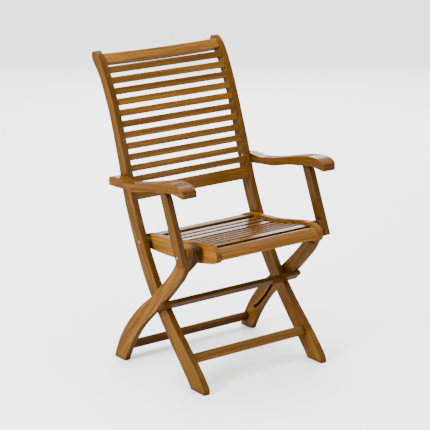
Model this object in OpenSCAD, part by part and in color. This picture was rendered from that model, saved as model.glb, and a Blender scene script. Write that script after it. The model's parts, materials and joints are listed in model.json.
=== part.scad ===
// Folding slatted wooden armchair.
// X is across the chair, the front faces -Y, +Z is up. The origin is on the floor under the middle.
// The sitter's left side is +X; the right side is its mirror image.

/* [Width] */
// Clear width between the two stiles
stile_span = 452; // [446:2:460]
// Thickness of each stile
stile_t = 22; // [20:1:24]
// Side gap between a stile and the rear leg that crosses it
leg_gap = 4; // [3:0.5:5]
// Thickness of each rear leg
leg_t = 20; // [18:1:22]
// Thickness of each arm post
post_t = 20; // [18:1:21]
// Gap filled by a washer between rear leg and arm post
washer_gap = 2; // [2:0.5:3]
// Thickness of each seat side rail
rail_t = 20; // [18:1:22]
// Length of the bush between a stile and the seat side rail
bush_l = 14; // [12:1:16]
// Width of an armrest at the hand
arm_w = 53; // [50:1:56]
// Width of an armrest at the back
arm_tail_w = 35; // [32:1:38]

/* [Folding linkage] */
// Depth position of the seat pivot
seat_pivot_y = 52; // [50:1:54]
// Height of the seat pivot
seat_pivot_z = 417; // [415:1:419]
// Distance forward from the seat pivot to the front pivot
link_run = 271; // [269:1:273]
// Rise from the seat pivot to the front pivot
link_rise = 23; // [22:1:24]
// Distance back from the seat pivot to the arm pivot
back_run = 83; // [82:1:84]
// Rise from the seat pivot to the arm pivot
back_rise = 198; // [197:1:199]
// Depth position of the guide pin on the stile
guide_y = -34; // [-36:1:-32]
// Height of the guide pin on the stile
guide_z = 240; // [238:1:242]
// Angle that the seat turns through from open to folded
fold_angle = 93; // [80:1:93]
// Turn of the rear legs for each degree of the seat
leg_ratio = 0.607; // [0.6:0.001:0.615]

/* [Back] */
// Height of the middle of the lower back rail
lower_rail_z = 565; // [560:1:570]
// Width of the lower back rail
lower_rail_w = 42; // [38:1:46]
// Spacing of the back slats along the stile
back_pitch = 36.2; // [35:0.1:36.5]
// Width of a back slat
back_slat_w = 21.5; // [18:0.5:24]
// Thickness of a back slat
back_slat_t = 11; // [10:0.5:12]
// Height of the crest rail's face
crest_h = 34; // [30:1:36]
// Thickness of the crest rail
crest_t = 25; // [22:1:26]
// Height of the stile's front edge where the crest rail starts
crest_z = 966; // [962:1:968]
// Backward bow of the crest rail at its middle
crest_bow = 7; // [0:1:10]
// Backward lean of the crest rail
crest_lean = 42; // [40:1:44]

/* [Seat] */
// Spacing of the thin seat slats
seat_pitch = 36; // [35:0.5:36]
// Width of a thin seat slat
seat_slat_w = 24; // [20:1:26]
// Thickness of the seat slats
seat_slat_t = 14; // [12:1:15]
// Width of the rear seat slat
rear_slat_w = 62; // [56:1:64]
// Depth of the slats below the top of the side rails
seat_drop = 9; // [7:1:10]

/* [Legs and arms] */
// Width of an arm post
post_w = 30; // [28:1:30]
// Extra width on the front of an arm post below its rounded top
post_swell = 5; // [0:1:6]
// Length of an arm post below the front pivot
post_tail = 32; // [28:1:34]
// Long side of the stretchers' section
stretcher_w = 30; // [28:1:32]
// Short side of the stretchers' section
stretcher_t = 18; // [16:1:20]
// Width of the stop bar
stop_w = 39; // [36:1:40]
// Thickness of the stop bar
stop_t = 14; // [12:1:15]

/* [Hardware] */
// Diameter of the pivot bolts and pins
bolt_d = 6; // [5:0.5:6]
// Diameter of a bolt head
head_d = 11; // [10:0.5:11.5]
// Height of a bolt head
head_h = 2.6; // [2:0.2:2.8]
// Width of the guide slot in a rear leg
slot_w = 10; // [9:0.5:10]

/* [Hidden] */
$fn = 48;

// Wood and metal colours
oak = "peru";
honey = "chocolate";
amber = "sienna";
steel = "silver";
brass = "goldenrod";

// Faces of the layers on one side of the chair, counted outward from the middle
stile_in = stile_span / 2;
stile_out = stile_in + stile_t;
leg_in = stile_out + leg_gap;
leg_out = leg_in + leg_t;
post_in = leg_out + washer_gap;
post_out = post_in + post_t;
rail_out = stile_in - bush_l;
rail_in = rail_out - rail_t;
arm_in = stile_out + 2;
arm_out = arm_in + arm_w;

// Pivots as [y, z] in the side view. The two seat pivots, the arm pivot and the post pivot are
// the corners of a parallelogram, so the arms stay parallel to the seat as the chair folds.
seat_pivot = [seat_pivot_y, seat_pivot_z];
front_pivot = seat_pivot + [-link_run, link_rise];
arm_pivot = seat_pivot + [back_run, back_rise];
post_pivot = arm_pivot + [-link_run, link_rise];
guide_pin = [guide_y, guide_z];

// Fits: radial play of turning and glued joints, and the lengths hidden inside them
run_gap = 0.05;
seat_gap = 0.02;
shoulder_gap = 0.02;
pocket_gap = 0.1;
tenon_l = 9;
tenon_inset = 2;
bolt_r = bolt_d / 2;
insert_r = bolt_r + 1.5;
insert_l = 9;
arm_insert_l = 16;

// Outlines in the side view, as [y, z] points that a smooth curve passes through
stile_front = [[-295, 0], [-287, 26], [-234, 85], [-132, 184], [-53, 276], [18, 389], [85, 530],
    [131, 666], [178, 795], [209, 872], [248, 950], [274, 984], [296, 998]];
stile_rear = [[308, 996], [315, 984], [307, 964], [271, 920], [239, 856], [212, 793], [170, 663],
    [133, 530], [69, 383], [20, 292], [-45, 204], [-119, 118], [-200, 30], [-224, 0]];
leg_front = [[111, 0], [105, 14], [84, 52], [56, 95], [20, 141], [-31, 191], [-108, 260],
    [-166, 319], [-204, 361], [-226, 397], [-240, 430], [-244, 462]];
leg_rear = [[-236, 468], [-214, 464], [-192, 450], [-180, 428], [-178, 408], [-159, 379], [-125, 341],
    [-52, 271], [8, 224], [50, 186], [93, 139], [125, 96], [151, 50], [167, 12], [171, 0]];
rail_top = [[96, 424], [55, 438], [-35, 447], [-90, 451], [-142, 460], [-195, 470],
    [-230, 476], [-260, 478], [-286, 473], [-304, 461], [-312, 446]];
rail_bottom = [[-307, 430], [-290, 423], [-221, 409], [-140, 398], [-50, 391], [45, 391], [86, 398]];
front_rail_outline = [[-278, 468], [-290, 468], [-304, 461], [-314, 450], [-314, 440],
    [-304, 434], [-278, 434]];
arm_top = [[182, 610], [135, 621], [70, 618], [20, 625], [-40, 639], [-90, 652], [-140, 664],
    [-190, 672], [-228, 671], [-251, 662], [-263, 648]];
arm_bottom = [[-260, 636], [-222, 640], [-180, 639], [-136, 631], [-90, 624], [-40, 612],
    [10, 601], [67, 595], [120, 589], [182, 587]];

// A smooth curve through the given points
function mixed(a, b, c, d, t) =
    b + 0.5 * t * ((c - a) + t * ((2 * a - 5 * b + 4 * c - d) + t * (3 * b - a - 3 * c + d)));
function before(p, i) = i > 0 ? p[i - 1] : 2 * p[0] - p[1];
function after(p, i) = i < len(p) ? p[i] : 2 * p[len(p) - 1] - p[len(p) - 2];
function smooth(p, steps = 4) = [
    for (i = [0 : len(p) - 2])
        for (k = [0 : steps - 1])
            mixed(before(p, i), p[i], p[i + 1], after(p, i + 2), k / steps),
    p[len(p) - 1]
];
function arc(centre, r, from, to, steps = 8) = [
    for (i = [0 : steps])
        centre + r * [cos(from + (to - from) * i / steps), sin(from + (to - from) * i / steps)]
];
function turned(v, a) = [v[0] * cos(a) - v[1] * sin(a), v[0] * sin(a) + v[1] * cos(a)];
function running(p) = [
    for (i = 0, s = 0; i < len(p); s = s + (i + 1 < len(p) ? norm(p[i + 1] - p[i]) : 0), i = i + 1) s
];
function column(keys, p, k) = [for (i = [0 : len(p) - 1]) [keys[i], p[i][k]]];

// Distance along the front edge of a stile, and the point and lean there
front_edge = smooth(stile_front);
front_run = running(front_edge);
edge_y = column(front_run, front_edge, 0);
edge_z = column(front_run, front_edge, 1);
run_at_z = [for (i = [0 : len(front_edge) - 1]) [front_edge[i][1], front_run[i]]];
function edge_point(s) = [lookup(s, edge_y), lookup(s, edge_z)];
function edge_lean(s) = let (d = edge_point(s + 8) - edge_point(s - 8)) atan2(d[0], d[1]);
lower_rail_s = lookup(lower_rail_z, run_at_z);
back_slat_count = 11;
first_slat_s = lower_rail_s + (lower_rail_w + back_slat_w) / 2 + back_pitch - back_slat_w - 1.5;
function back_slat_s(n) = first_slat_s + (n - 1) * back_pitch;
back_setback = 2;
crest_s = lookup(crest_z, run_at_z);

// Height of the top of the seat side rails at a depth position
rail_curve = smooth(rail_top);
function rail_z(y) = lookup(y, rail_curve);
function rail_slope(y) = atan2(rail_z(y + 8) - rail_z(y - 8), 16);
seat_slat_count = 8;
first_seat_slat_y = 0;
function seat_slat_y(n) = first_seat_slat_y - (n - 1) * seat_pitch;
rear_slat_y = 59;
rear_slat_drop = 6;
front_tenon_y = -294;
front_tenon_z = 451;

// Path of the guide pin across the rear leg while the chair folds
function pin_in_leg(a) =
    front_pivot + turned(guide_pin - seat_pivot - turned(front_pivot - seat_pivot, -a), leg_ratio * a);
slot_over = 12;
slot_steps = 16;
pin_path = [for (i = [0 : slot_steps]) pin_in_leg(fold_angle * i / slot_steps)];
path_end = pin_path[slot_steps];
end_way = (path_end - pin_path[slot_steps - 1]) / norm(path_end - pin_path[slot_steps - 1]);
slot_path = concat(pin_path, [path_end + slot_over * end_way]);
function way(p, i) =
    let (d = p[min(i + 1, len(p) - 1)] - p[max(i - 1, 0)]) d / norm(d);
function side_of(p, i, w) = p[i] + w * [-way(p, i)[1], way(p, i)[0]];
slot_outline = concat(
    [for (i = [0 : len(slot_path) - 1]) side_of(slot_path, i, slot_w / 2)],
    [for (i = [len(slot_path) - 1 : -1 : 0]) side_of(slot_path, i, -slot_w / 2)]
);
slot_depth = 12;

// Places of the cross bars, as [y, z] of their middle, and the lean of their wide face
front_bar = [-199, 89];
front_bar_lean = 45;
rear_bar = [138, 39.5];
rear_bar_lean = -28;
stop_bar_at = [-99.5, 252.6];
stop_bar_lean = -48;
stop_overhang = 6;
bar_tenon_r = 7;
dowel_r = 4;

// Arm posts and their slots in the armrests
post_lean = atan2(back_run, back_rise);
post_l = norm([back_run, back_rise]);
arm_slot_gap = 0.6;
swing_end = 88 + post_lean - fold_angle;

module plate(outline, x, t) {
    translate([x, 0, 0]) rotate([90, 0, 90]) linear_extrude(t) polygon(outline);
}

// A round bar across the chair at a side-view point
module rod(at, r, x0, x1) {
    translate([x0, at[0], at[1]]) rotate([0, 90, 0]) cylinder(r = r, h = x1 - x0);
}

module ring(at, r, hole_r, x0, x1) {
    difference() {
        rod(at, r, x0, x1);
        rod(at, hole_r, x0 - 1, x1 + 1);
    }
}

module other_side() {
    mirror([1, 0, 0]) children();
}

module both_sides() {
    children();
    other_side() children();
}

// A domed bolt head with a hexagon socket, its flat side at x and its top facing +X
module bolt_head(at, x) {
    dome = 1.2;
    translate([x, at[0], at[1]]) rotate([0, 90, 0]) difference() {
        rotate_extrude() polygon(concat(
            [[0, 0], [head_d / 2, 0], [head_d / 2, head_h - dome]],
            arc([head_d / 2 - dome, head_h - dome], dome, 0, 90, 4),
            [[0, head_h]]
        ));
        translate([0, 0, head_h - 1.6]) cylinder(d = 4, h = 4, $fn = 6);
    }
}

// A bolt whose head sits on the outside at x_head and whose shank runs inward to x_end
module bolt(at, x_head, x_end) {
    bolt_head(at, x_head);
    rod(at, bolt_r, x_end, x_head);
}

// A straight bar across the chair with rounded edges: its wide side leans back by lean
module cross_bar(at, lean, wide, thick, edge_r, half_l) {
    y = thick / 2 - edge_r;
    z = wide / 2 - edge_r;
    shoulder = half_l - shoulder_gap;
    translate([-shoulder, at[0], at[1]]) rotate([-lean, 0, 0]) rotate([90, 0, 90])
        linear_extrude(2 * shoulder) polygon(concat(
            arc([y, z], edge_r, 0, 90, 4),
            arc([-y, z], edge_r, 90, 180, 4),
            arc([-y, -z], edge_r, 180, 270, 4),
            arc([y, -z], edge_r, 270, 360, 4)
        ));
}

// Local frame on the back: Y goes into the wood from the front edge, Z goes up along it
module on_back(s) {
    translate([0, edge_point(s)[0], edge_point(s)[1]]) rotate([-edge_lean(s), 0, 0]) children();
}

// Local frame on the seat: Z stands up from the slats' tops, Y goes back along them
module on_seat(y, drop) {
    translate([0, y, rail_z(y)]) rotate([rail_slope(y), 0, 0]) translate([0, 0, -drop]) children();
}

// A board with a tenon at each end: wide along Z, thick along Y, front face at Y = 0
module tenoned_board(half_l, thick, wide) {
    shoulder = half_l - shoulder_gap;
    translate([-shoulder, 0, -wide / 2]) cube([2 * shoulder, thick, wide]);
    board_tenon(half_l + tenon_l, thick, wide, 0);
}

module board_tenon(half_l, thick, wide, gap) {
    translate([-half_l, tenon_inset - gap, tenon_inset - wide / 2 - gap])
        cube([2 * half_l, thick - 2 * tenon_inset + 2 * gap, wide - 2 * tenon_inset + 2 * gap]);
}

module board_pockets(half_l, thick, wide) {
    board_tenon(half_l + tenon_l + 0.5, thick, wide, pocket_gap);
}

// Back

module back_slat(n) {
    color(n % 3 == 0 ? amber : n % 3 == 1 ? honey : oak)
        on_back(back_slat_s(n)) translate([0, back_setback, 0])
            tenoned_board(stile_in, back_slat_t, back_slat_w);
}

module lower_back_rail() {
    color(amber) on_back(lower_rail_s) translate([0, back_setback, 0])
        tenoned_board(stile_in, back_slat_t + 5, lower_rail_w);
}

module on_crest() {
    translate([0, edge_point(crest_s)[0], edge_point(crest_s)[1]]) rotate([-crest_lean, 0, 0])
        children();
}

module crest_tenons(half_l, gap) {
    wide = crest_h - 12;
    thick = crest_t - 12;
    translate([-half_l, 6 - gap, 6 - gap]) cube([2 * half_l, thick + 2 * gap, wide + 2 * gap]);
}

module crest_rail() {
    steps = 24;
    edge = [for (i = [0 : steps])
        let (t = 2 * i / steps - 1) [(stile_in - shoulder_gap) * t, crest_bow * (1 - t * t)]];
    back = [for (i = [steps : -1 : 0]) edge[i] + [0, crest_t]];
    color(honey) on_crest() union() {
        linear_extrude(crest_h) polygon(concat(edge, back));
        for (side = [-1, 1])
            intersection() {
                crest_tenons(stile_in + tenon_l, 0);
                translate([side > 0 ? stile_in - 1 : -stile_in - tenon_l - 1, 0, 0])
                    cube([tenon_l + 2, crest_t, crest_h]);
            }
    }
}

module stile() {
    color(oak) difference() {
        plate(concat(front_edge, smooth(stile_rear)), stile_in, stile_t);
        for (n = [1 : back_slat_count])
            on_back(back_slat_s(n)) translate([0, back_setback, 0])
                board_pockets(stile_in, back_slat_t, back_slat_w);
        on_back(lower_rail_s) translate([0, back_setback, 0])
            board_pockets(stile_in, back_slat_t + 5, lower_rail_w);
        on_crest() crest_tenons(stile_in + tenon_l + 0.5, pocket_gap);
        rod(front_bar, bar_tenon_r + pocket_gap, 0, stile_in + tenon_l + 0.5);
        rod(seat_pivot, bolt_r + run_gap, stile_in - 1, stile_out + 1);
        rod(arm_pivot, bolt_r + run_gap, stile_in - 1, stile_out + 1);
        rod(arm_pivot, head_d / 2 + 0.5, stile_in - 1, stile_in + head_h + 0.6);
        rod(guide_pin, bolt_r + seat_gap, stile_out - 10, stile_out + 1);
    }
}

module front_stretcher() {
    color(honey) {
        cross_bar(front_bar, front_bar_lean, stretcher_w + 2, stretcher_t, 7, stile_in);
        rod(front_bar, bar_tenon_r, -stile_in - tenon_l, stile_in + tenon_l);
    }
}

module guide_pins() {
    color(steel) both_sides() rod(guide_pin, bolt_r, stile_out - 10, leg_in + slot_depth - 2);
}

module arm_pivot_washers() {
    color(steel) both_sides() ring(arm_pivot, 8, bolt_r + 0.1, stile_out + 0.1, arm_in - 0.1);
}

// Seat

module seat_rail() {
    color(oak) difference() {
        plate(concat(rail_curve, smooth(rail_bottom)), rail_in, rail_t);
        for (n = [1 : seat_slat_count]) seat_slat_pockets(seat_slat_y(n), seat_drop, seat_slat_w);
        seat_slat_pockets(rear_slat_y, rear_slat_drop, rear_slat_w);
        rod([front_tenon_y, front_tenon_z], bar_tenon_r + pocket_gap, 0, rail_in + tenon_l + 0.5);
        rod(seat_pivot, insert_r + seat_gap, rail_out - insert_l - 0.5, rail_out + 1);
        rod(front_pivot, insert_r + seat_gap, rail_out - insert_l - 0.5, rail_out + 1);
    }
}

module seat_slat_pockets(y, drop, wide) {
    on_seat(y, drop) rotate([-90, 0, 0]) board_pockets(rail_in, seat_slat_t, wide);
}

module seat_board(y, drop, wide) {
    on_seat(y, drop) rotate([-90, 0, 0]) tenoned_board(rail_in, seat_slat_t, wide);
}

module seat_slat(n) {
    color(n % 2 == 0 ? honey : oak) seat_board(seat_slat_y(n), seat_drop, seat_slat_w);
}

module rear_seat_slat() {
    color(honey) seat_board(rear_slat_y, rear_slat_drop, rear_slat_w);
}

module front_seat_rail() {
    color(amber) {
        plate(smooth(front_rail_outline), shoulder_gap - rail_in, 2 * (rail_in - shoulder_gap));
        rod([front_tenon_y, front_tenon_z], bar_tenon_r, -rail_in - tenon_l, rail_in + tenon_l);
    }
}

module seat_pivot_bolts() {
    color(steel) both_sides() bolt(seat_pivot, stile_out + 0.1, rail_out - insert_l + 1);
}

module front_pivot_bolts() {
    color(steel) both_sides() bolt(front_pivot, post_out + 0.1, rail_out - insert_l + 1);
}

module rail_insert(at) {
    ring(at, insert_r, bolt_r + seat_gap, rail_out - insert_l, rail_out);
}

module seat_pivot_inserts() {
    color(brass) both_sides() rail_insert(seat_pivot);
}

module front_pivot_inserts() {
    color(brass) both_sides() rail_insert(front_pivot);
}

module bush(at) {
    ring(at, 13, bolt_r + seat_gap, rail_out, stile_in - 0.2);
}

module seat_pivot_bushes() {
    color(amber) both_sides() bush(seat_pivot);
}

module front_pivot_bushes() {
    color(amber) both_sides() bush(front_pivot);
}

module front_pivot_washers() {
    color(steel) both_sides() ring(front_pivot, 8, bolt_r + 0.1, leg_out + 0.1, post_in - 0.1);
}

// Rear legs

leg_outline = concat(smooth(leg_front), smooth(leg_rear));

module rear_leg() {
    color(honey) difference() {
        plate(leg_outline, leg_in, leg_t);
        rod(front_pivot, bolt_r + run_gap, leg_in - 1, leg_out + 1);
        plate(slot_outline, leg_in - 1, slot_depth + 1);
        rod(slot_path[0], slot_w / 2, leg_in - 1, leg_in + slot_depth);
        rod(slot_path[len(slot_path) - 1], slot_w / 2, leg_in - 1, leg_in + slot_depth);
        rod(rear_bar, bar_tenon_r + pocket_gap, 0, leg_in + tenon_l + 0.5);
        on_stop() translate([0, -stop_t, -stop_w / 2 - 0.2]) cube([leg_out + 9, stop_t, stop_w + 0.4]);
        stop_dowel_rods(dowel_r + seat_gap);
    }
}

// Spacer glued inside the top of a rear leg, its lower end cut to a slope
module leg_block() {
    slope_top = 421;
    slope_foot = 384;
    across = leg_in - stile_in;
    color(honey) difference() {
        intersection() {
            plate(leg_outline, stile_in + 0.2, across - 0.2);
            translate([0, -250, slope_foot]) cube([leg_in, 72, 100]);
        }
        translate([0, -90, 0]) rotate([90, 0, 0]) linear_extrude(200)
            polygon([[stile_in, slope_top], [leg_in, slope_foot], [leg_in, 300], [stile_in, 300]]);
        rod(front_pivot, bolt_r + run_gap, 0, leg_in + 1);
    }
}

module rear_stretcher() {
    color(amber) {
        cross_bar(rear_bar, rear_bar_lean, stretcher_w + 2, stretcher_t, 6, leg_in);
        rod(rear_bar, bar_tenon_r, -leg_in - tenon_l, leg_in + tenon_l);
    }
}

module on_stop() {
    translate([0, stop_bar_at[0], stop_bar_at[1]]) rotate([-stop_bar_lean, 0, 0]) children();
}

module stop_dowel_rods(r) {
    for (up = [-9, 9])
        on_stop() translate([(leg_in + leg_out) / 2, -8, up]) rotate([-90, 0, 0]) cylinder(r = r, h = 26);
}

module stop_bar() {
    half_l = leg_out + stop_overhang;
    color(amber) difference() {
        on_stop() translate([-half_l, -stop_t, -stop_w / 2]) cube([2 * half_l, stop_t, stop_w]);
        both_sides() stop_dowel_rods(dowel_r + seat_gap);
    }
}

module stop_bar_dowels() {
    color(oak) both_sides() stop_dowel_rods(dowel_r);
}

// Arms

// Plan view of a left armrest: straight inside, waisted outside, rounded at both ends
module arm_plan() {
    tail_r = arm_tail_w / 2;
    hand_r = 12;
    inner_r = 5;
    tail_y = 182;
    hand_y = -263;
    tail_x = arm_in + arm_tail_w;
    polygon(concat(
        arc([arm_in + tail_r, tail_y - tail_r], tail_r, 180, 0, 12),
        smooth([[tail_x, 110], [tail_x + 4, 70], [arm_out - 3, 25], [arm_out, -10]]),
        arc([arm_out - hand_r, hand_y + hand_r], hand_r, 0, -90, 6),
        arc([arm_in + inner_r, hand_y + inner_r], inner_r, -90, -180, 6)
    ));
}

// Room for the post in the underside of an armrest, from open to folded
module post_slot() {
    r = post_w / 2 + arm_slot_gap;
    front = post_pivot + r * [-cos(post_lean), sin(post_lean)];
    side = post_in - arm_slot_gap;
    wide = post_t + 2 * arm_slot_gap;
    reach = 160;
    edge = post_pivot + r * [sin(swing_end), cos(swing_end)];
    rod(post_pivot, r, side, side + wide);
    plate([
        front,
        front - 60 * [sin(post_lean), cos(post_lean)],
        edge + [reach, -60 - reach],
        edge + reach * [cos(swing_end), -sin(swing_end)],
        edge,
        post_pivot
    ], side, wide);
}

module armrest() {
    color(honey) difference() {
        intersection() {
            plate(concat(smooth(arm_top), smooth(arm_bottom)), arm_in, arm_w);
            translate([0, 0, 500]) linear_extrude(300) arm_plan();
        }
        post_slot();
        rod(arm_pivot, insert_r + seat_gap, arm_in - 1, arm_in + arm_insert_l + 1);
        rod(post_pivot, bolt_r + seat_gap, arm_in - 1, arm_out - 2);
    }
}

module arm_bolt() {
    color(steel) {
        other_side() bolt_head(arm_pivot, -stile_in - head_h - 0.3);
        rod(arm_pivot, bolt_r, stile_in + head_h + 0.3, arm_in + arm_insert_l);
    }
}

module arm_insert() {
    color(brass) ring(arm_pivot, insert_r, bolt_r + seat_gap, arm_in, arm_in + arm_insert_l + 0.5);
}

module post_pin() {
    color(steel) rod(post_pivot, bolt_r, arm_in + 6, arm_out - 2.5);
}

module pin_plug() {
    color(honey) rod(post_pivot, bolt_r, arm_in, arm_in + 6);
}

module arm_post() {
    half = post_w / 2;
    front = -half - post_swell;
    outline = concat(
        [[front, -post_tail], [half, -post_tail]],
        arc([0, post_l], half, 0, 180, 16),
        [[-half, post_l - 12], [front, post_l - 34]]
    );
    color(oak) difference() {
        translate([0, front_pivot[0], front_pivot[1]]) rotate([-post_lean, 0, 0])
            plate(outline, post_in, post_t);
        rod(front_pivot, bolt_r + run_gap, post_in - 1, post_out + 1);
        rod(post_pivot, bolt_r + run_gap, post_in - 1, post_out + 1);
    }
}

stile();  // left_stile
other_side() stile();  // right_stile
crest_rail();
lower_back_rail();
front_stretcher();
back_slat(1);  // back_slat_01
back_slat(2);  // back_slat_02
back_slat(3);  // back_slat_03
back_slat(4);  // back_slat_04
back_slat(5);  // back_slat_05
back_slat(6);  // back_slat_06
back_slat(7);  // back_slat_07
back_slat(8);  // back_slat_08
back_slat(9);  // back_slat_09
back_slat(10);  // back_slat_10
back_slat(11);  // back_slat_11
guide_pins();
arm_pivot_washers();
seat_rail();  // left_seat_rail
other_side() seat_rail();  // right_seat_rail
rear_seat_slat();
front_seat_rail();
seat_slat(1);  // seat_slat_01
seat_slat(2);  // seat_slat_02
seat_slat(3);  // seat_slat_03
seat_slat(4);  // seat_slat_04
seat_slat(5);  // seat_slat_05
seat_slat(6);  // seat_slat_06
seat_slat(7);  // seat_slat_07
seat_slat(8);  // seat_slat_08
seat_pivot_bolts();
seat_pivot_inserts();
seat_pivot_bushes();
front_pivot_bolts();
front_pivot_inserts();
front_pivot_bushes();
front_pivot_washers();
rear_leg();  // left_rear_leg
other_side() rear_leg();  // right_rear_leg
leg_block();  // left_leg_block
other_side() leg_block();  // right_leg_block
rear_stretcher();
stop_bar();
stop_bar_dowels();
armrest();  // left_armrest
arm_bolt();  // left_arm_bolt
arm_insert();  // left_arm_insert
post_pin();  // left_post_pin
pin_plug();  // left_pin_plug
other_side() armrest();  // right_armrest
other_side() arm_bolt();  // right_arm_bolt
other_side() arm_insert();  // right_arm_insert
other_side() post_pin();  // right_post_pin
other_side() pin_plug();  // right_pin_plug
arm_post();  // left_arm_post
other_side() arm_post();  // right_arm_post
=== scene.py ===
"""The looks of the folding slatted armchair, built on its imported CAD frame."""
import json
import math

import bpy
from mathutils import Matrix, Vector

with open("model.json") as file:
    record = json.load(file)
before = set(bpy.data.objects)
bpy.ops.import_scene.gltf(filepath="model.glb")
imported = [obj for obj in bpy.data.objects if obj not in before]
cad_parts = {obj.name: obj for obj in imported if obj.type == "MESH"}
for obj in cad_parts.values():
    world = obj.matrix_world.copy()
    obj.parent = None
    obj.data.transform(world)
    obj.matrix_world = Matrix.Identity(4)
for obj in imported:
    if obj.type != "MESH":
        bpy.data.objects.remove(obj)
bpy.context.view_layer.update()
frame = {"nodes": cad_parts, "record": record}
nodes = frame["nodes"]


# ---------------------------------------------------------------- node helpers

class Tree:
    """Short names for building one material."""

    def __init__(self, name):
        self.material = bpy.data.materials.new(name)
        self.material.use_nodes = True
        self.tree = self.material.node_tree
        self.tree.nodes.clear()
        self.out = self.tree.nodes.new("ShaderNodeOutputMaterial")

    def new(self, kind, inputs=(), **settings):
        node = self.tree.nodes.new(kind)
        for key, value in settings.items():
            setattr(node, key, value)
        for key, value in dict(inputs).items():
            self.put(node.inputs[key], value)
        return node

    def put(self, socket, value):
        if isinstance(value, bpy.types.NodeSocket):
            self.tree.links.new(value, socket)
        else:
            socket.default_value = value

    def math(self, operation, a, b=0.0):
        return self.new("ShaderNodeMath", {0: a, 1: b}, operation=operation).outputs[0]

    def along(self, direction, axis):
        """How far direction lies along axis, either way: 0 across it, 1 along it."""
        dot = self.new("ShaderNodeVectorMath", {0: direction, 1: axis}, operation="DOT_PRODUCT")
        return self.math("ABSOLUTE", dot.outputs["Value"])

    def stretch(self, where, scale):
        return self.new("ShaderNodeMapping", {"Vector": where, "Scale": scale}).outputs[0]

    def noise(self, where, scale, detail=4.0, rough=0.55, distortion=0.0):
        node = self.new("ShaderNodeTexNoise", {
            "Vector": where, "Scale": scale, "Detail": detail,
            "Roughness": rough, "Distortion": distortion})
        return node.outputs["Fac"]

    def ramp(self, value, stops):
        node = self.new("ShaderNodeValToRGB", {"Fac": value})
        elements = node.color_ramp.elements
        while len(elements) < len(stops):
            elements.new(0.5)
        for element, (at, colour) in zip(elements, stops):
            element.position = at
            element.color = (*colour, 1)
        return node.outputs["Color"]

    def mix(self, factor, a, b, blend="MIX"):
        node = self.new("ShaderNodeMix", data_type="RGBA", blend_type=blend)
        self.put(node.inputs[0], factor)
        self.put(node.inputs[6], a if isinstance(a, bpy.types.NodeSocket) else (*a, 1))
        self.put(node.inputs[7], b if isinstance(b, bpy.types.NodeSocket) else (*b, 1))
        return node.outputs[2]

    def shade(self, colour, level):
        """Multiplies a colour by one level."""
        grey = self.new("ShaderNodeCombineColor", {"Red": level, "Green": level, "Blue": level})
        return self.mix(1.0, colour, grey.outputs[0], "MULTIPLY")

    def span(self, value, low, high, to_low=0.0, to_high=1.0):
        node = self.new("ShaderNodeMapRange", {
            "Value": value, "From Min": low, "From Max": high,
            "To Min": to_low, "To Max": to_high})
        node.clamp = True
        return node.outputs[0]

    def bump(self, height, strength, distance, under=None):
        node = self.new("ShaderNodeBump", {
            "Height": height, "Strength": strength, "Distance": distance})
        if under is not None:
            self.put(node.inputs["Normal"], under)
        return node.outputs["Normal"]

    def finish(self, shader):
        self.tree.links.new(shader.outputs[0], self.out.inputs["Surface"])
        return self.material


# ---------------------------------------------------------------- wood

# The three tones of the grain, before a board's own tone
DEEP, MID, LIGHT = (0.014, 0.005, 0.0009), (0.057, 0.0226, 0.0034), (0.155, 0.068, 0.0088)
STREAK, PORE = (0.55, 0.47, 0.4), (0.3, 0.22, 0.16)
WHITE = (1, 1, 1)

# Noise scales per metre: along the grain, then across it twice
PATCH_SCALE = (1.6, 22, 22)
RING_SCALE = (2.4, 95, 95)
FIBRE_SCALE = (9, 620, 620)
PORE_SCALE = (45, 900, 900)
COAT_SCALE = (6, 30, 30)

# How far a board's seed moves it through the noise
SEED_SHIFT = {"X": 7.3, "Y": 3.1, "Z": 5.7}

# How far round a point the ambient occlusion looks for the painted shade in gaps and corners,
# in metres
PAINTED_SHADE_REACH = 0.03


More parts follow.
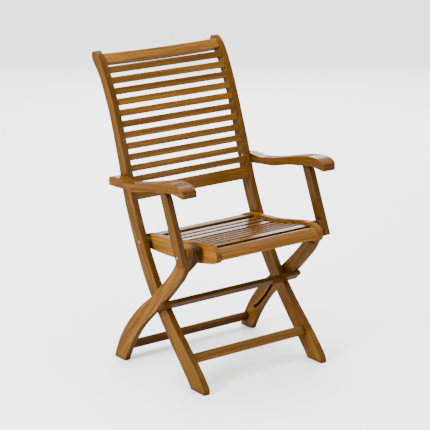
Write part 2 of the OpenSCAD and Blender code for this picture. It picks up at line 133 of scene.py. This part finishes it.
def wood(name, grain, tone, gloss, face=None, painted_side_shade=1.0):
    """Oiled, varnished hardwood. grain is the direction the fibres run in, in the row frame.
    face is the direction of the board's broad side; the sides turned away from it are darkened
    with painted shade, down to the level of the last argument."""
    t = Tree(name)
    deep, mid, light = (tuple(tone * c for c in shade) for shade in (DEEP, MID, LIGHT))
    turn = Vector(grain).rotation_difference(Vector((1, 0, 0))).to_euler()
    place = t.new("ShaderNodeTexCoord").outputs["Object"]
    facing = t.new("ShaderNodeTexCoord").outputs["Normal"]
    seed = t.new("ShaderNodeObjectInfo").outputs["Random"]
    turned = t.new("ShaderNodeMapping", {"Vector": place, "Rotation": tuple(turn)}).outputs[0]
    shift = t.new("ShaderNodeCombineXYZ", {
        axis: t.math("MULTIPLY", seed, by) for axis, by in SEED_SHIFT.items()}).outputs[0]
    here = t.new("ShaderNodeVectorMath", {0: turned, 1: shift}, operation="ADD").outputs[0]

    patch = t.noise(t.stretch(here, PATCH_SCALE), 1.0, 3, 0.5, 0.6)
    band = t.noise(t.stretch(here, RING_SCALE), 1.0, 5, 0.62, 0.8)
    thread = t.noise(t.stretch(here, FIBRE_SCALE), 1.0, 4, 0.6)
    pore = t.noise(t.stretch(here, PORE_SCALE), 1.0, 2, 0.5)

    # Growth rings, then each board's own shade, then fibres and pores
    colour = t.ramp(band, [(0.18, deep), (0.5, mid), (0.86, light)])
    board = t.math("ADD", t.math("MULTIPLY", seed, 0.6), t.math("MULTIPLY", patch, 0.7))
    colour = t.shade(colour, t.span(board, 0.15, 1.05, 0.64, 1.28))
    streak = t.ramp(thread, [(0.3, STREAK), (0.55, WHITE)])
    colour = t.mix(0.9, colour, streak, "MULTIPLY")
    dark = t.ramp(pore, [(0.34, PORE), (0.42, WHITE)])
    colour = t.mix(0.7, colour, dark, "MULTIPLY")

    # End grain drinks more oil and goes darker
    ends = t.along(facing, Vector(grain).normalized())
    colour = t.mix(t.span(ends, 0.72, 0.95, 0.0, 0.75), colour, tuple(1.3 * c for c in deep))
    # Painted shade: the sides turned away from face are darkened, as if out of the light
    if face:
        colour = t.shade(colour, t.span(t.along(facing, face), 0.35, 0.8, painted_side_shade, 1.0))

    # Convex edges are lightened, partly as worn coat and partly as painted highlight; creases
    # and corners are darkened with painted shade
    edge = t.new("ShaderNodeNewGeometry").outputs["Pointiness"]
    wear_and_highlight = t.span(edge, 0.505, 0.56, 0.0, 0.45)
    colour = t.mix(wear_and_highlight, colour, t.mix(0.5, colour, light))
    # Painted shade where the surface folds inward, at low pointiness
    painted_crease_shade = t.span(edge, 0.49, 0.44, 0.0, 0.5)
    colour = t.mix(painted_crease_shade, colour, deep)
    # Painted shade from ambient occlusion, darkening gaps between parts and corners
    painted_occlusion_shade = t.new("ShaderNodeAmbientOcclusion", {"Distance": PAINTED_SHADE_REACH}, samples=6)
    colour = t.mix(t.span(painted_occlusion_shade.outputs["AO"], 0.75, 0.25, 0.0, 0.8), colour, deep)

    wear = t.math("ADD", t.math("MULTIPLY", thread, 0.6), t.math("MULTIPLY", patch, 0.4))
    relief = t.bump(pore, 0.22, 0.0003, t.bump(thread, 0.25, 0.0004))
    uneven = t.noise(t.stretch(here, COAT_SCALE), 1.0, 2)

    # The tops that hands and sitters rub are polished; the sides stay satin
    upward = t.new("ShaderNodeSeparateXYZ", {0: facing}).outputs["Z"]
    return t.finish(t.new("ShaderNodeBsdfPrincipled", {
        "Base Color": colour, "Roughness": t.span(wear, 0.3, 0.7, 0.42, 0.3), "Normal": relief,
        "Specular IOR Level": 0.0, "Coat Weight": t.span(upward, 0.65, 0.97, 0.09, gloss),
        "Coat Roughness": 0.2, "Coat IOR": 1.48, "Coat Normal": t.bump(uneven, 0.05, 0.0008)}))


def metal(name, base, rough):
    """Worn metal, duller in patches and dark in its corners."""
    t = Tree(name)
    place = t.new("ShaderNodeTexCoord").outputs["Object"]
    wide = t.noise(place, 260.0, 4, 0.6)
    fine = t.noise(place, 2600.0, 2, 0.6)
    colour = t.mix(t.span(wide, 0.4, 0.7), base, tuple(0.6 * c for c in base))
    edge = t.new("ShaderNodeNewGeometry").outputs["Pointiness"]
    colour = t.mix(t.span(edge, 0.49, 0.42, 0.0, 0.7), colour, (0.06, 0.05, 0.04))
    return t.finish(t.new("ShaderNodeBsdfPrincipled", {
        "Base Color": colour, "Metallic": 1.0,
        "Roughness": t.span(wide, 0.3, 0.75, rough, rough + 0.22),
        "Normal": t.bump(fine, 0.2, 0.0002)}))


# Directions in the row frame: across the chair, up, and along each kind of sloping board
ACROSS, UP = (1, 0, 0), (0, 0, 1)
STILE, LEG, RAIL, ARM, POST = (
    (0, 0.52, 0.85), (0, -0.66, 0.75), (0, -0.99, 0.13), (0, -0.99, 0.17), (0, 0.39, 0.92))

# Copies of one wood at different tones. The tones are partly each part's own shade and partly
# painted light: the crest rail and seat rails are painted brighter, as if lit, and the rear
# stretcher, stop bar and leg block darker, as if in shade.
woods = {
    "across": wood("wood_across", ACROSS, 1.3, 0.3),
    "seat": wood("wood_seat", ACROSS, 1.15, 0.5, UP, 0.3),
    "crest": wood("wood_crest", ACROSS, 2.0, 0.3),
    "across_shaded": wood("wood_across_shaded", ACROSS, 0.6, 0.15),
    "stile": wood("wood_stile", STILE, 1.1, 0.2, ACROSS, 0.8),
    "leg": wood("wood_leg", LEG, 1.4, 0.2, ACROSS, 0.45),
    "block": wood("wood_block", LEG, 0.45, 0.2, ACROSS, 0.7),
    "rail": wood("wood_rail", RAIL, 2.1, 0.2, ACROSS, 0.6),
    "arm": wood("wood_arm", ARM, 1.05, 0.4),
    "post": wood("wood_post", POST, 0.9, 0.2, ACROSS, 0.75),
}
metals = {
    "steel": metal("bronzed_steel", (0.24, 0.16, 0.09), 0.36),
    "brass": metal("insert_brass", (0.6, 0.43, 0.18), 0.32),
}

# The wood of a node, by the first of these words in its name
WOOD_OF = [("front_seat_rail", "across"), ("rear_stretcher", "across_shaded"),
           ("stop_bar_dowels", "across"), ("stop_bar", "across_shaded"), ("stile", "stile"),
           ("rear_leg", "leg"), ("leg_block", "block"), ("seat_rail", "rail"),
           ("armrest", "arm"), ("pin_plug", "arm"), ("arm_post", "post"),
           ("seat_slat", "seat"), ("crest", "crest"), ("", "across")]

# The rounding of a node, by the first of these words in its name: width in metres, and the
# least angle in degrees that counts as an edge
EDGES = [("back_slat", 0.0022, 28), ("seat_slat", 0.0022, 28), ("lower_back_rail", 0.003, 28),
         ("crest_rail", 0.004, 28), ("front_seat_rail", 0.003, 28), ("stretcher", 0.002, 28),
         ("stile", 0.0012, 40), ("rear_leg", 0.0022, 40), ("leg_block", 0.002, 40),
         ("armrest", 0.002, 40), ("arm_post", 0.003, 40), ("seat_rail", 0.0025, 40),
         ("stop_bar", 0.0025, 40)]


def slot_of(name):
    return next(part["material_slot"] for part in frame["record"]["subparts"]
                if part["node"] == name)


def wood_for(name):
    return woods[next(kind for word, kind in WOOD_OF if word in name)]


# ---------------------------------------------------------------- edges

SAME_POINT = 1e-6
FLAT_ANGLE = math.radians(0.6)


def ease(obj, width, angle):
    """Rounds the sharp edges of a CAD node without touching its mesh. Short edges hold the
    rounding back, so the curved boards get much less of it than width says."""
    weld = obj.modifiers.new("weld", "WELD")
    weld.merge_threshold = SAME_POINT
    flat = obj.modifiers.new("flat", "DECIMATE")
    flat.decimate_type = "DISSOLVE"
    flat.angle_limit = FLAT_ANGLE
    bevel = obj.modifiers.new("round", "BEVEL")
    bevel.width = width
    bevel.segments = 3
    bevel.limit_method = "ANGLE"
    bevel.angle_limit = math.radians(angle)
    bevel.miter_outer = "MITER_ARC"
    bevel.use_clamp_overlap = True
    smooth = obj.modifiers.new("normals", "WEIGHTED_NORMAL")
    smooth.keep_sharp = True
    obj.data.shade_smooth()


for name, obj in nodes.items():
    slot = slot_of(name)
    obj.data.materials.clear()
    obj.data.materials.append(metals[slot] if slot in metals else wood_for(name))
    if slot in metals:
        obj.data.shade_smooth()
    elif "dowels" not in name:
        for word, width, angle in EDGES:
            if word in name:
                ease(obj, width, angle)
                break

# ---------------------------------------------------------------- floor, light, camera

FLOOR_SIZE = 40
FLOOR_GREY = (0.9, 0.9, 0.9, 1)

bpy.ops.mesh.primitive_plane_add(size=FLOOR_SIZE, location=(0, 0, 0))
floor = bpy.context.object
floor.name = "floor"
paper = Tree("floor_white")
floor.data.materials.append(paper.finish(paper.new("ShaderNodeBsdfPrincipled", {
    "Base Color": FLOOR_GREY, "Roughness": 0.75})))

# The studio brightens from the horizon to straight up
SKY_LEVELS = {"From Min": 0.1, "From Max": 1.0, "To Min": 0.22, "To Max": 4.2}

world = bpy.data.worlds.new("studio")
bpy.context.scene.world = world
world.use_nodes = True
sky = world.node_tree.nodes
links = world.node_tree.links
ray = sky.new("ShaderNodeTexCoord")
split = sky.new("ShaderNodeSeparateXYZ")
level = sky.new("ShaderNodeMapRange")
for socket, value in SKY_LEVELS.items():
    level.inputs[socket].default_value = value
sky["Background"].inputs["Color"].default_value = (1, 1, 1, 1)
links.new(ray.outputs["Generated"], split.inputs[0])
links.new(split.outputs["Z"], level.inputs["Value"])
links.new(level.outputs[0], sky["Background"].inputs["Strength"])

# Name, place, height aimed at, size in metres, watts
LAMPS = [("key", (-3.6, -0.3, 2.0), 0.5, (1.2, 1.2), 290),
         ("fill", (2.2, -3.6, 1.8), 0.5, (1.2, 1.2), 20),
         ("top", (0.5, 1.2, 3.6), 0.4, (2.4, 2.4), 150),
         ("back", (2.6, 3.4, 1.9), 0.6, (3.4, 1.6), 150)]

for name, place, height, size, power in LAMPS:
    data = bpy.data.lights.new(name, "AREA")
    data.shape = "RECTANGLE"
    data.size, data.size_y = size
    data.energy = power
    lamp = bpy.data.objects.new(name, data)
    bpy.context.scene.collection.objects.link(lamp)
    lamp.location = place
    aim = Vector((0, 0, height)) - Vector(place)
    lamp.rotation_euler = aim.to_track_quat("-Z", "Y").to_euler()

# Fitted to the photo: where the camera stands, how far it looks down, and which way it faces
CAMERA_PLACE = (-3.3926, -4.5598, 2.1291)
CAMERA_DOWN, CAMERA_TURN = 16.2169, -36.7564

camera_data = bpy.data.cameras.new("camera")
camera_data.sensor_width = 36
camera_data.lens = 152.69
camera = bpy.data.objects.new("camera", camera_data)
bpy.context.scene.collection.objects.link(camera)
camera.location = CAMERA_PLACE
camera.rotation_euler = (math.radians(90 - CAMERA_DOWN), 0, math.radians(CAMERA_TURN))
bpy.context.scene.camera = camera
